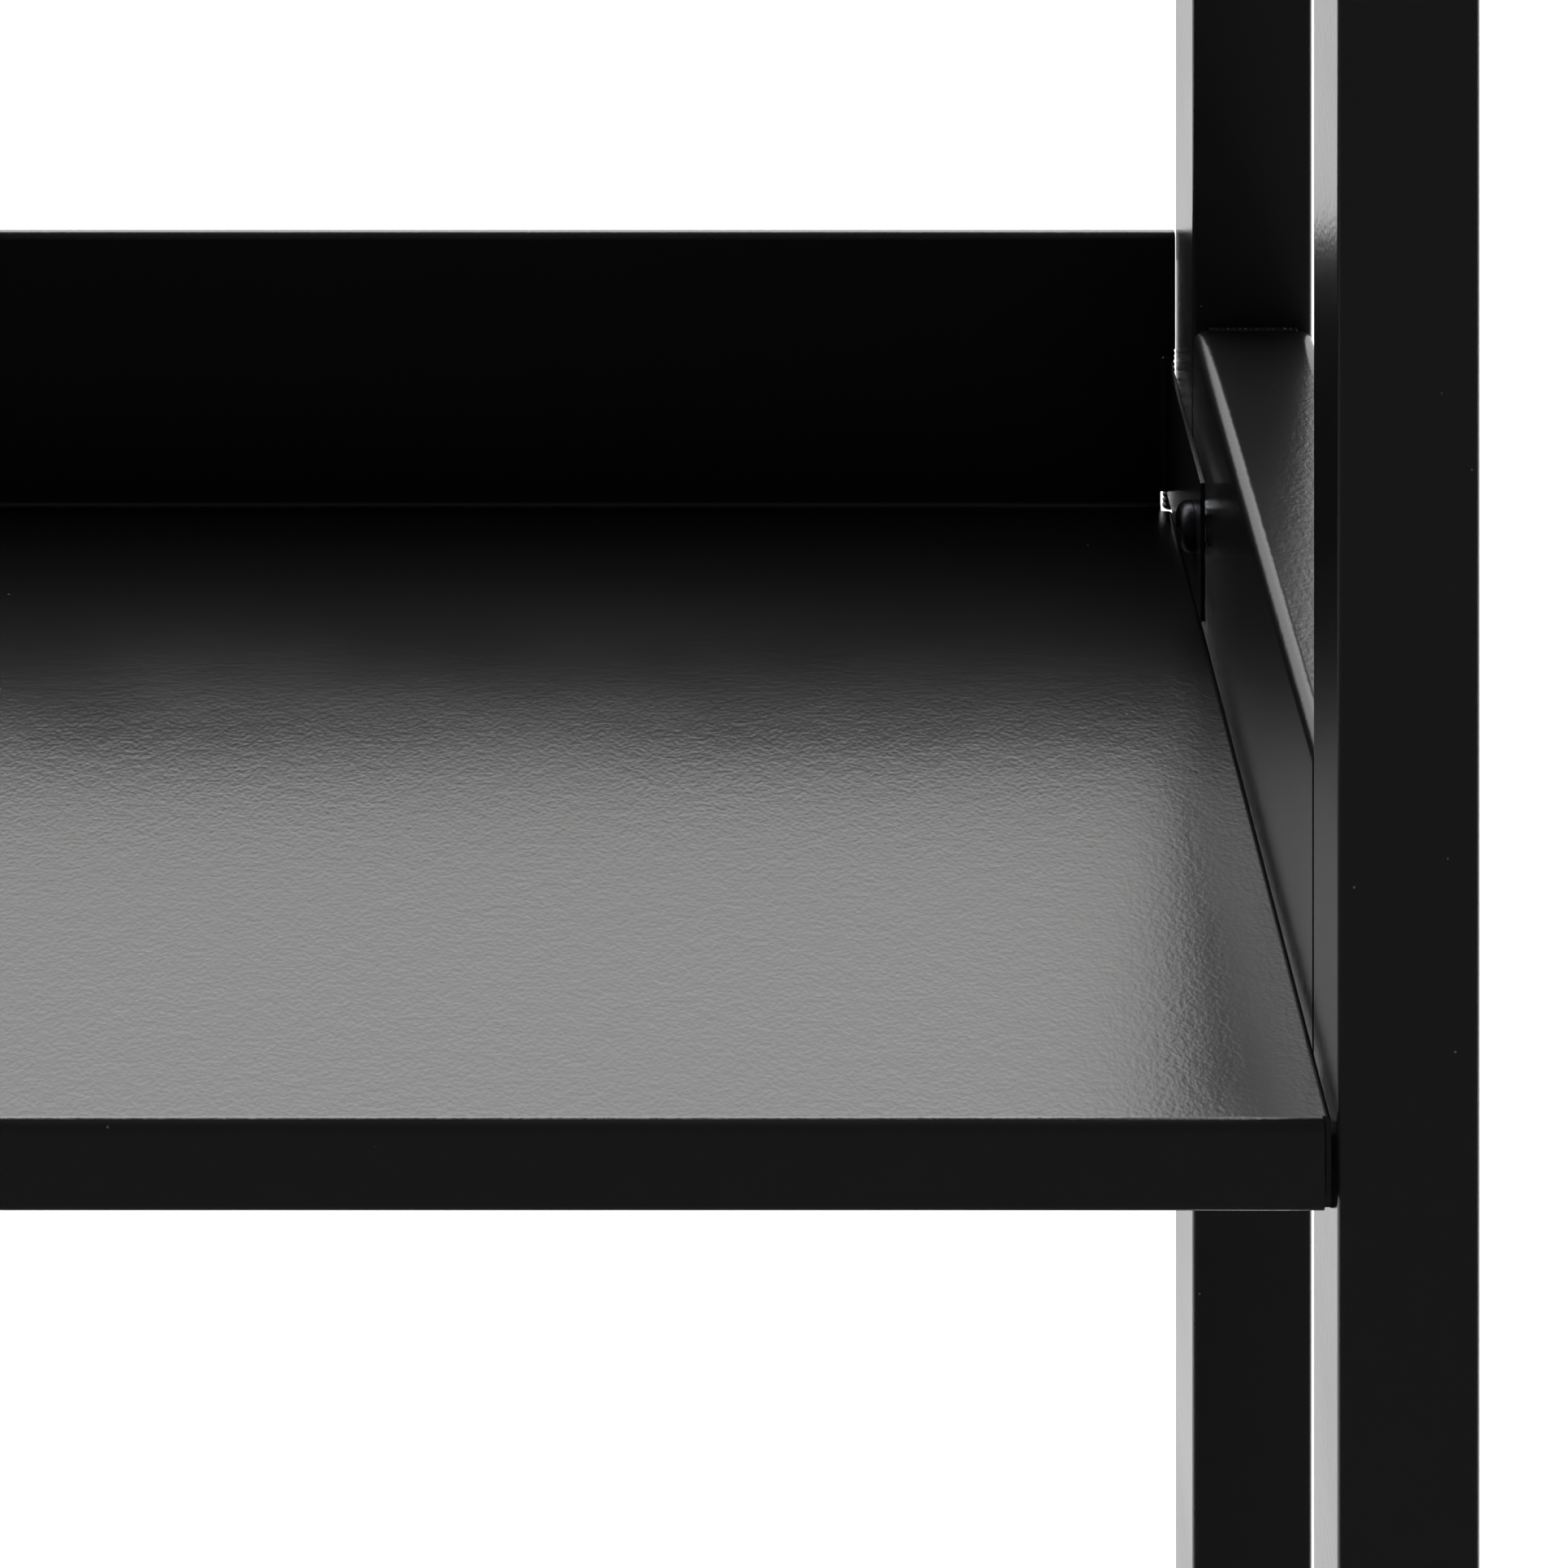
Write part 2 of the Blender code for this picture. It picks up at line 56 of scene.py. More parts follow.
SIDES = {"left": -1, "right": 1}
ENDS = ("front", "rear")
LEVELS = ("lower", "middle", "upper")
MM = 0.001
TINY = 1e-6                                          # a length below this counts as nothing
FACING = 0.9                                         # cosine above which a face looks along an axis
SMOOTH_ANGLE = math.radians(35)                      # bends sharper than this keep a crisp edge
CUT_ANGLE = math.radians(60)                         # edges sharper than this are cut, and deburred
# brightness of the sky behind the rack at the sine of its height: a pale sweep, a softbox, then dark
SKY = ((0.001, 0.16), (0.2, 0.24), (0.5, 0.28), (0.6, 0.5), (0.68, 1.0), (0.87, 1.0), (0.93, 0.08),
       (0.999, 0.02))

# ---- small helpers -----------------------------------------------------------------------------


def to_linear(hex_color):
    """Linear RGBA of an sRGB hex colour."""
    channels = [int(hex_color[i:i + 2], 16) / 255 for i in (1, 3, 5)]
    return [c / 12.92 if c <= 0.04045 else ((c + 0.055) / 1.055) ** 2.4 for c in channels] + [1.0]


def sizes():
    return bpy.context.scene.rack_sizes


def finishes():
    return bpy.context.scene.rack_finishes


def studio():
    return bpy.context.scene.rack_studio


def along(direction):
    """Matrix that turns +Z to a direction."""
    return Vector((0, 0, 1)).rotation_difference(Vector(direction)).to_matrix().to_4x4()


def finish_piece(name, bm, material, body, node=None, wall=0.0, deburr=0.0):
    """Turn a bmesh into a piece that rides on a body and, where it stands for a CAD node, replaces it.

    A wall thickens an open sheet inwards, and deburr rounds its cut edges. Flat faces keep their own
    normals, so that only the rounded edges between them shade as curved.
    """
    mesh = bpy.data.meshes.new(name)
    bm.to_mesh(mesh)
    bm.free()
    mesh.shade_smooth()
    mesh.set_sharp_from_angle(angle=SMOOTH_ANGLE)
    piece = bpy.data.objects.new(name, mesh)
    bpy.context.scene.collection.objects.link(piece)
    mesh.materials.append(material)
    if wall:
        shell = piece.modifiers.new("wall", "SOLIDIFY")
        shell.thickness = wall
        shell.offset = -1
        shell.use_even_offset = True
    if deburr:
        edge = piece.modifiers.new("deburred_edges", "BEVEL")
        edge.width = deburr
        edge.segments = 2
        edge.limit_method = "ANGLE"
        edge.angle_limit = CUT_ANGLE
    flats = piece.modifiers.new("flat_faces", "WEIGHTED_NORMAL")
    flats.keep_sharp = True
    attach(piece, body)
    if node:
        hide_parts(node)


def round_edges(bm, edges, radius, segments):
    """Round edges, with a number of faces across each."""
    bmesh.ops.bevel(bm, geom=list(edges), affect="EDGES", offset=radius, segments=segments, profile=0.5,
                    material=-1)


def add_block(bm, low, high, radius=0.0, segments=4, axis=None):
    """A box between two corners, with its edges along the axis, or all of them, rounded."""
    made = bmesh.ops.create_cube(bm, size=1.0)["verts"]
    bmesh.ops.scale(bm, vec=Vector(high) - Vector(low), verts=made)
    bmesh.ops.translate(bm, vec=(Vector(low) + Vector(high)) / 2, verts=made)
    if radius <= 0:
        return
    edges = {edge for vert in made for edge in vert.link_edges}
    if axis is not None:
        edges = {e for e in edges if abs(e.verts[0].co[axis] - e.verts[1].co[axis]) > TINY}
    round_edges(bm, edges, radius, segments)


def add_turned(bm, profile, place, steps):
    """Spin a profile of (radius, height) points, which runs down its outer side, about an upright axis."""
    verts = [bm.verts.new((radius, 0, height)) for radius, height in profile]
    edges = [bm.edges.new(pair) for pair in zip(verts, verts[1:])]
    bmesh.ops.spin(bm, geom=verts + edges, cent=(0, 0, 0), axis=(0, 0, 1), angle=math.tau, steps=steps,
                   use_merge=True)
    bmesh.ops.remove_doubles(bm, verts=bm.verts, dist=TINY)
    bmesh.ops.recalc_face_normals(bm, faces=bm.faces)
    bmesh.ops.translate(bm, vec=place, verts=bm.verts)


def arc(middle, radius, start, end, steps):
    """Points on an arc in a profile's (radius, height) plane; angles in degrees."""
    angles = [math.radians(start + (end - start) * i / steps) for i in range(steps + 1)]
    return [(middle[0] + radius * math.cos(a), middle[1] + radius * math.sin(a)) for a in angles]


def fold(bm, edges, middle, axis, angle):
    """Roll edges about an axis to make a bend; returns the edges at its far side."""
    made = bmesh.ops.spin(bm, geom=edges, cent=middle, axis=axis, angle=angle, steps=sizes().bend_segments)
    return [item for item in made["geom_last"] if isinstance(item, bmesh.types.BMEdge)]


def pull(bm, edges, offset):
    """Extend a surface from its edges; returns the edges at its far side."""
    made = bmesh.ops.extrude_edge_only(bm, edges=edges)["geom"]
    verts = [item for item in made if isinstance(item, bmesh.types.BMVert)]
    bmesh.ops.translate(bm, vec=offset, verts=verts)
    return [item for item in made if isinstance(item, bmesh.types.BMEdge)
            and item.verts[0] in verts and item.verts[1] in verts]


# ---- materials ---------------------------------------------------------------------------------


def add_node(tree, kind, values=None, links=None, **settings):
    """Add a shader node, set its properties and input values, and link its inputs."""
    node = tree.nodes.new(kind)
    for key, value in settings.items():
        setattr(node, key, value)
    for key, value in (values or {}).items():
        node.inputs[key].default_value = value
    for key, source in (links or {}).items():
        tree.links.new(source, node.inputs[key])
    return node


def new_material(name, color, roughness, metallic=0.0, ior=None):
    """A Principled material whose even values are set on its own sockets."""
    material = bpy.data.materials.new(name)
    material.use_nodes = True
    tree = material.node_tree
    shader = tree.nodes["Principled BSDF"]
    shader.inputs["Base Color"].default_value = to_linear(color)
    shader.inputs["Roughness"].default_value = roughness
    shader.inputs["Metallic"].default_value = metallic
    if ior:
        shader.inputs["IOR"].default_value = ior
    place = add_node(tree, "ShaderNodeTexCoord").outputs["Object"]
    return material, tree, shader, place


def powder_coat():
    """Black semi-gloss polyester powder, sprayed dry on the steel and baked until it runs together.

    The melt doesn't quite level out. Its slow orange peel bends reflections, a finer grain frosts them, and
    a few grains of dust that were baked in show as small paler specks.
    """
    name = "black powder-coated steel"
    if name in bpy.data.materials:
        return bpy.data.materials[name]
    look = finishes()
    material, tree, shader, place = new_material(name, look.coat_color, look.coat_roughness, ior=1.5)

    # the film's thickness drifts along a piece, and its gloss with it
    film = add_node(tree, "ShaderNodeTexNoise", {"Scale": 1 / (60 * MM)}, {"Vector": place})
    gloss = add_node(tree, "ShaderNodeMapRange",
                     {"From Min": 0.3, "From Max": 0.7, "To Min": look.coat_roughness - 0.02,
                      "To Max": look.coat_roughness + 0.02}, {"Value": film.outputs["Fac"]})
    tree.links.new(gloss.outputs["Result"], shader.inputs["Roughness"])

    # one speck of dust, a fraction of a millimetre across, in each cell of 14 mm
    dust = add_node(tree, "ShaderNodeTexVoronoi", {"Scale": 1 / (14 * MM), "Randomness": 1.0},
                    {"Vector": place})
    speck = add_node(tree, "ShaderNodeMapRange",
                     {"From Min": 0.012, "From Max": 0.026, "To Min": 1.0, "To Max": 0.0},
                     {"Value": dust.outputs["Distance"]})
    shade = add_node(tree, "ShaderNodeMix", {"A": to_linear(look.coat_color), "B": to_linear("#4a4a4c")},
                     {"Factor": speck.outputs["Result"]}, data_type="RGBA")
    tree.links.new(shade.outputs["Result"], shader.inputs["Base Color"])

    peel = add_node(tree, "ShaderNodeTexNoise", {"Scale": 1 / (look.peel_mm * MM), "Detail": 1.0},
                    {"Vector": place})
    waves = add_node(tree, "ShaderNodeBump", {"Strength": 1.0, "Distance": look.peel_height_mm * MM},
                     {"Height": peel.outputs["Fac"]})
    grain = add_node(tree, "ShaderNodeTexNoise", {"Scale": 1 / (look.grain_mm * MM), "Detail": 1.0},
                     {"Vector": place})
    relief = add_node(tree, "ShaderNodeBump", {"Strength": 1.0, "Distance": look.grain_height_mm * MM},
                      {"Height": grain.outputs["Fac"], "Normal": waves.outputs["Normal"]})
    tree.links.new(relief.outputs["Normal"], shader.inputs["Normal"])
    return material


def zinc_steel(name, color, roughness):
    """Steel plated with zinc in a bath and passivated: a thin skin of dull, even metal.

    The plate's crystals scatter light and blur reflections unevenly. They are far too fine to show, so they
    are drawn as patches about a millimetre across.
    """
    if name in bpy.data.materials:
        return bpy.data.materials[name]
    material, tree, shader, place = new_material(name, color, roughness, metallic=1.0)
    mottle = add_node(tree, "ShaderNodeTexNoise", {"Scale": 1 / (1.2 * MM), "Detail": 3.0}, {"Vector": place})
    blur = add_node(tree, "ShaderNodeMapRange",
                    {"From Min": 0.3, "From Max": 0.7, "To Min": roughness - 0.08,
                     "To Max": roughness + 0.08}, {"Value": mottle.outputs["Fac"]})
    tree.links.new(blur.outputs["Result"], shader.inputs["Roughness"])
    crystal = add_node(tree, "ShaderNodeTexNoise", {"Scale": 1 / (0.5 * MM)}, {"Vector": place})
    relief = add_node(tree, "ShaderNodeBump", {"Strength": 1.0, "Distance": 0.004 * MM},
                      {"Height": crystal.outputs["Fac"]})
    tree.links.new(relief.outputs["Normal"], shader.inputs["Normal"])
    return material


def black_zinc():
    return zinc_steel("black zinc-plated steel", "#2b2b2e", 0.36)


def bright_zinc():
    return zinc_steel("bright zinc-plated steel", "#b9bcc2", 0.3)


def moulded_plastic():
    """Polypropylene, injection-moulded against spark-eroded steel: an even satin.

    The mould's pits leave tiny bumps, which spread every highlight. They are drawn half a millimetre apart,
    coarser than real ones, so that they show.
    """
    name = "moulded black polypropylene"
    if name in bpy.data.materials:
        return bpy.data.materials[name]
    material, tree, shader, place = new_material(name, "#151515", 0.5, ior=1.49)
    pits = add_node(tree, "ShaderNodeTexNoise", {"Scale": 1 / (0.5 * MM)}, {"Vector": place})
    satin = add_node(tree, "ShaderNodeMapRange",
                     {"From Min": 0.3, "From Max": 0.7, "To Min": 0.46, "To Max": 0.58},
                     {"Value": pits.outputs["Fac"]})
    tree.links.new(satin.outputs["Result"], shader.inputs["Roughness"])
    relief = add_node(tree, "ShaderNodeBump", {"Strength": 1.0, "Distance": 0.02 * MM},
                      {"Height": pits.outputs["Fac"]})
    tree.links.new(relief.outputs["Normal"], shader.inputs["Normal"])
    return material


def foot_rubber():
    """Thermoplastic rubber from a blasted mould: matt, with a paler bloom where its oils come out.

    The mould's texture breaks up reflections, and the bloom leaves faint clouds some millimetres across.
    """
    name = "moulded black rubber"
    if name in bpy.data.materials:
        return bpy.data.materials[name]
    material, tree, shader, place = new_material(name, "#1c1c1c", 0.8, ior=1.5)
    bloom = add_node(tree, "ShaderNodeTexNoise", {"Scale": 1 / (6 * MM), "Detail": 3.0}, {"Vector": place})
    shade = add_node(tree, "ShaderNodeValToRGB", links={"Fac": bloom.outputs["Fac"]})
    shade.color_ramp.elements[0].color = to_linear("#191919")
    shade.color_ramp.elements[1].color = to_linear("#262625")
    tree.links.new(shade.outputs["Color"], shader.inputs["Base Color"])
    texture = add_node(tree, "ShaderNodeTexNoise", {"Scale": 1 / (0.4 * MM)}, {"Vector": place})
    relief = add_node(tree, "ShaderNodeBump", {"Strength": 1.0, "Distance": 0.03 * MM},
                      {"Height": texture.outputs["Fac"]})
    tree.links.new(relief.outputs["Normal"], shader.inputs["Normal"])
    return material


# ---- tubes and welds ---------------------------------------------------------------------------

RING_STEP = 0.45 * MM                                # between the rings that a bead is made of
RIPPLE = (0.13, 3.1)                                 # share of the radius, and rings from crest to crest
WANDER = (0.06, 7.7)                                 # the same for the hand's slower drift
BEAD_END = 0.35                                      # last ring, as a share of the radius


def tube(node, axis, wall, corner):
    """Square or rectangular tube with rounded corners and open ends, as large as its CAD node."""
    low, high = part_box(node)
    bm = bmesh.new()
    add_block(bm, low, high, corner, sizes().corner_segments, axis)
    bm.normal_update()
    bmesh.ops.delete(bm, geom=[f for f in bm.faces if abs(f.normal[axis]) > FACING], context="FACES")
    bmesh.ops.recalc_face_normals(bm, faces=bm.faces)
    finish_piece(node + "_coated", bm, powder_coat(), "root", node, wall=wall)


def add_bead(bm, start, end, radius):
    """A weld bead along a line, with the ripples that the torch leaves."""
    start, end = Vector(start), Vector(end)
    run = end - start
    rings = max(int(run.length / RING_STEP), 4)
    first = bmesh.ops.create_circle(bm, cap_ends=True, segments=10, radius=radius)["verts"]
    bmesh.ops.transform(bm, matrix=Matrix.Translation(start) @ along(run), verts=first)
    loop = list({edge for vert in first for edge in vert.link_edges})
    for ring in range(1, rings + 1):
        loop = pull(bm, loop, run / rings)
        middle = start + run * ring / rings
        swell = 1 + sum(share * math.sin(math.tau * ring / period) for share, period in (RIPPLE, WANDER))
        if ring == rings:
            swell *= BEAD_END
        for vert in {vert for edge in loop for vert in edge.verts}:
            vert.co = middle + (vert.co - middle).normalized() * radius * swell
    bmesh.ops.edgeloop_fill(bm, edges=loop)


def finish_weld(name, bm):
    """Beads are coated with the steel that they join."""
    bmesh.ops.recalc_face_normals(bm, faces=bm.faces)
    finish_piece(name, bm, powder_coat(), "root")


def rail_welds(node, inset):
    """Beads across the top and bottom of a rail's two joints with the posts, clear of its round corners."""
    low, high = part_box(node)
    bm = bmesh.new()
    for y in (low.y, high.y):
        for z in (low.z, high.z):
            add_bead(bm, (low.x + inset, y, z), (high.x - inset, y, z), sizes().weld_radius)
    finish_weld(node + "_welds", bm)


def tray_corner_weld(level, side):
    """Upright bead that closes the slot at a tray's rear corner, between its ear and the post."""
    size = sizes()
    _low, high, inner = tray_outline(f"{level}_tray")
    floor_z = high.z - size.back_wall
    middle = 1.25 * size.corner_weld                 # from the two faces, with room for the ripples
    x = SIDES[side] * (inner - middle)
    y = high.y - middle
    top = floor_z + size.bend + 2 * size.ear_relief + size.ear_height
    bm = bmesh.new()
    add_bead(bm, (x, y, floor_z - size.sheet / 2), (x, y, top), size.corner_weld)
    finish_weld(f"{level}_{side}_corner_weld", bm)


def tab_weld(level, side):
    """Bead under the edge where a support tab meets its post."""
    low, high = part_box(f"{level}_{side}_tab")
    x = high.x if side == "right" else low.x
    bm = bmesh.new()
    add_bead(bm, (x, low.y + MM, low.z), (x, high.y - MM, low.z), sizes().weld_radius)
    finish_weld(f"{level}_{side}_tab_weld", bm)


# ---- folded trays ------------------------------------------------------------------------------


def tray_outline(node):
    """Corners of a tray's box, and how far its rails' inner faces are from the middle."""
    low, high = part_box(node)
    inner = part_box(node.replace("tray", "right_rail"))[0].x
    return low, high, inner


def tray(level):
    """Sheet with a down-turned hemmed lip, folded sides, and a hemmed back wall with an ear at each end."""
    size = sizes()
    node = f"{level}_tray"
    low, high, inner = tray_outline(node)
    floor_z = high.z - size.back_wall
    hem = size.sheet + size.hem_gap / 2              # outer radius of a hem
    floor_half = inner - size.side_gap - size.bend
    lip_half = inner - size.lip_end_gap
    ear_face = inner - size.ear_offset
    wall_half = ear_face - size.bend
    wall_y = high.y - 2 * hem
    front = low.y + size.lip_bend
    rear = wall_y - size.bend
    bm = bmesh.new()
    outline = [(-floor_half, front), (-lip_half, front), (lip_half, front), (floor_half, front),
               (floor_half, rear), (wall_half, rear), (-wall_half, rear), (-floor_half, rear)]
    corners = [bm.verts.new((x, y, floor_z)) for x, y in outline]
    floor = bm.faces.new(corners)
    edges = list(floor.edges)
    lip, right, wall, left = [edges[1]], [edges[3]], [edges[5]], [edges[7]]

    lip = fold(bm, lip, (0, front, floor_z - size.lip_bend), (1, 0, 0), math.pi / 2)
    lip = pull(bm, lip, (0, 0, low.z + hem - (floor_z - size.lip_bend)))
    lip = fold(bm, lip, (0, low.y + hem, low.z + hem), (1, 0, 0), math.pi)
    pull(bm, lip, (0, 0, size.hem_height - hem))

    for sign, side in ((1, right), (-1, left)):
        side = fold(bm, side, (sign * floor_half, 0, floor_z - size.bend), (0, 1, 0), sign * math.pi / 2)
        side = pull(bm, side, (0, 0, 2 * size.bend - size.side_depth))
        side = fold(bm, side, (sign * floor_half, 0, floor_z + size.bend - size.side_depth), (0, 1, 0),
                    sign * math.pi / 2)
        pull(bm, side, (sign * (size.bend - size.side_flange), 0, 0))

    wall = fold(bm, wall, (0, rear, floor_z + size.bend), (1, 0, 0), math.pi / 2)
    wall = pull(bm, wall, (0, 0, size.ear_relief))
    known = set(bm.edges)
    wall = pull(bm, wall, (0, 0, size.ear_height))
    ear_edges = [e for e in bm.edges if e not in known and abs(e.verts[0].co.z - e.verts[1].co.z) > TINY]
    wall = pull(bm, wall, (0, 0, size.ear_relief))
    for vert in wall[0].verts:                       # above the ears the wall reaches the posts
        vert.co.x = math.copysign(high.x, vert.co.x)
    wall = pull(bm, wall, (0, 0, size.back_wall - hem - size.bend - 2 * size.ear_relief - size.ear_height))
    wall = fold(bm, wall, (0, wall_y + hem, high.z - hem), (1, 0, 0), -math.pi)
    pull(bm, wall, (0, 0, hem - size.hem_height))

    bolt_low, bolt_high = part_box(f"{level}_right_ear_bolt")
    ear_front = (bolt_low.y + bolt_high.y) / 2 - size.ear_margin
    for edge in ear_edges:
        sign = 1 if edge.verts[0].co.x > 0 else -1
        ear = fold(bm, [edge], (edge.verts[0].co.x, rear, 0), (0, 0, 1), -sign * math.pi / 2)
        pull(bm, ear, (0, ear_front - rear, 0))

    bmesh.ops.recalc_face_normals(bm, faces=bm.faces)
    floor.normal_update()
    if floor.normal.z < 0:
        bmesh.ops.reverse_faces(bm, faces=bm.faces)
    finish_piece(node + "_coated", bm, powder_coat(), "root", node, wall=size.sheet,
                 deburr=size.deburr)


# ---- fasteners and fittings --------------------------------------------------------------------

# form of a rolled thread in shares of its pitch: its depth, a crest's width, and a root below its crest
M6_FORM = (0.55, 0.15, 0.55)
M8_FORM = (0.52, 0.18, 0.56)


def thread(radius, pitch, form, top, rows):
    """Points of a thread's profile from its top down. It is drawn as rings, not as a helix."""
    depth, crest, root = form
    points = []
    for row in range(rows):
        z = top - row * pitch
        points += [(radius, z), (radius, z - crest * pitch), (radius - depth * pitch, z - root * pitch)]
    return points


def sink_socket(bm, radius, depth, lead):
    """Draw the open ring in a bolt's head in to a hexagon, just below the face, and sink that."""
    ring = pull(bm, [e for e in bm.edges if e.is_boundary], (0, 0, 0))
    for vert in {vert for edge in ring for vert in edge.verts}:
        off_middle = math.atan2(vert.co.y, vert.co.x) % (math.pi / 3) - math.pi / 6
        vert.co.xy = vert.co.xy.normalized() * radius * math.cos(math.pi / 6) / math.cos(off_middle)
        vert.co.z = -lead
    bmesh.ops.edgeloop_fill(bm, edges=pull(bm, ring, (0, 0, -depth)))


def bolt(node, head_towards):
    """Button-head bolt with a hexagon socket and a rolled thread."""
    size = sizes()
    low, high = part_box(node)
    axis = Vector(head_towards)
    index = [i for i in range(3) if axis[i]][0]
    top = (low + high) / 2
    top[index] = high[index] if axis[index] > 0 else low[index]
    radius = (high - low)[(index + 1) % 3] / 2
    length = (high - low)[index]
    head = size.bolt_head
    shank = size.bolt_radius
    plain = 1.0 * MM                                 # shank under the head without a thread
    chamfer = 0.5 * MM
    rows = int((length - head - plain) / size.bolt_pitch)
    angles = [math.pi / 2 * i / 10 for i in range(11)]
    dome = [(size.bolt_crown + (radius - size.bolt_crown) * math.sin(a),
             -(head - size.bolt_rim) * (1 - math.cos(a))) for a in angles]
    profile = dome + [(radius, -head), (shank, -head)]
    profile += thread(shank, size.bolt_pitch, M6_FORM, -head - plain, rows)
    profile += [(shank - chamfer, -length), (0, -length)]
    bm = bmesh.new()
    add_turned(bm, profile, (0, 0, 0), steps=36)
    sink_socket(bm, size.bolt_socket, size.socket_depth, lead=0.15 * MM)
    bmesh.ops.recalc_face_normals(bm, faces=bm.faces)
    bmesh.ops.transform(bm, matrix=Matrix.Translation(top) @ along(axis), verts=bm.verts)
    finish_piece(node + "_detailed", bm, black_zinc(), "root", node)


def tab(level, side):
    """Support tab: a plate with rounded free corners and broken edges."""
    size = sizes()
    node = f"{level}_{side}_tab"
    low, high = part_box(node)
    free_x = low.x if side == "right" else high.x
    bm = bmesh.new()
    add_block(bm, low, high)
    free = [e for e in bm.edges if abs(e.verts[0].co.z - e.verts[1].co.z) > TINY
            and abs(e.verts[0].co.x - free_x) < TINY]
    round_edges(bm, free, size.tab_corner, 8)
    round_edges(bm, [e for e in bm.edges if e.calc_face_angle(0) > CUT_ANGLE], size.tab_edge, 2)
    bmesh.ops.recalc_face_normals(bm, faces=bm.faces)
    finish_piece(node + "_coated", bm, powder_coat(), "root", node)


def plug(node, up):
    """Moulded push-in plug: a pillowed flange across the tube's end, and a body that grips its inside.

    The body points up into the tube where up is 1, and down where it is -1.
    """
    size = sizes()
    low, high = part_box(node)
    face, tip = (low.z, high.z) if up > 0 else (high.z, low.z)
    seat = face + up * (size.insert_flange if up > 0 else size.cap_flange)
    bm = bmesh.new()
    add_block(bm, (low.x, low.y, min(face, seat)), (high.x, high.y, max(face, seat)), size.post_corner,
              segments=6, axis=2)
    bm.normal_update()
    rim = {e for f in bm.faces if f.normal.z * up < -FACING for e in f.edges}
    round_edges(bm, rim, size.plug_pillow, 4)
    inset = size.plug_inset
    add_block(bm, (low.x + inset, low.y + inset, min(seat, tip)),
              (high.x - inset, high.y - inset, max(seat, tip)), size.plug_corner, segments=3)
    bmesh.ops.recalc_face_normals(bm, faces=bm.faces)
    finish_piece(node + "_moulded", bm, moulded_plastic(), "root", node)


def foot_pad(end, side):
    """Round pad: a socket for the stud's neck in a flat collar, a sloping top and a rounded rim."""
    size = sizes()
    node = f"{end}_{side}_foot_pad"
    low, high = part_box(node)
    middle = (low + high) / 2
    radius = (high.x - low.x) / 2
    height = high.z - low.z
    lead = 0.4 * MM                                  # chamfer round the socket's mouth
    rim = 1.0 * MM                                   # rounding of the outer edges
    slope = radius - rim - size.pad_collar
    profile = [(0, size.pad_tread), (size.socket_radius, size.pad_tread),
               (size.socket_radius, height - lead), (size.socket_radius + lead, height),
               (size.pad_collar, height)]
    # the top falls more and more steeply, to half the pad's height
    profile += [(size.pad_collar + slope * t, height - height / 2 * t ** 1.6)
                for t in (i / 8 for i in range(1, 9))]
    profile += arc((radius - rim, height / 2 - rim), rim, 60, 0, 4)
    profile += arc((radius - rim, rim), rim, 0, -90, 5)
    profile += [(0, 0)]
    bm = bmesh.new()
    add_turned(bm, profile, (middle.x, middle.y, low.z), steps=72)
    finish_piece(node + "_moulded", bm, foot_rubber(), f"{end}_{side}_pad", node)


def foot_stud(end, side):
    """Levelling stud: rolled thread, a six-sided collar for a spanner, and a neck that sits in the pad."""
    size = sizes()
    node = f"{end}_{side}_foot_stud"
    low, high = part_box(node)
    middle = (low + high) / 2
    collar_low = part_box(f"{end}_{side}_foot_pad")[1].z + size.touch
    collar_high = collar_low + size.stud_collar
    radius = size.stud_radius
    plain = 1.0 * MM                                 # left without a thread at each end
    sunk = 1.0 * MM                                  # stem and neck that run on inside the collar
    rows = int((high.z - collar_high - 2 * plain) / size.stud_pitch)
    profile = [(0, high.z), (radius - 1.1 * MM, high.z), (radius - 0.4 * MM, high.z - 0.7 * MM)]
    profile += thread(radius, size.stud_pitch, M8_FORM, high.z - plain, rows)
    profile += [(radius, collar_high + 0.4 * MM), (radius, collar_high - sunk)]
    profile += [(size.neck_radius, collar_low + sunk), (size.neck_radius, low.z), (0, low.z)]
    bm = bmesh.new()
    add_turned(bm, profile, (middle.x, middle.y, 0), steps=32)
    hexagon = (high.x - low.x) / 2
    made = bmesh.ops.create_cone(bm, cap_ends=True, segments=6, radius1=hexagon, radius2=hexagon,
                                 depth=collar_high - collar_low)["verts"]
    bmesh.ops.translate(bm, vec=(middle.x, middle.y, (collar_low + collar_high) / 2), verts=made)
    round_edges(bm, {edge for vert in made for edge in vert.link_edges}, 0.35 * MM, 2)
    finish_piece(node + "_threaded", bm, bright_zinc(), f"{end}_{side}_stud", node)


# ---- settings ----------------------------------------------------------------------------------


def length_property(name, description, default_mm):
    return FloatProperty(name=name, description=description, default=default_mm * MM, unit="LENGTH",
                         precision=5)


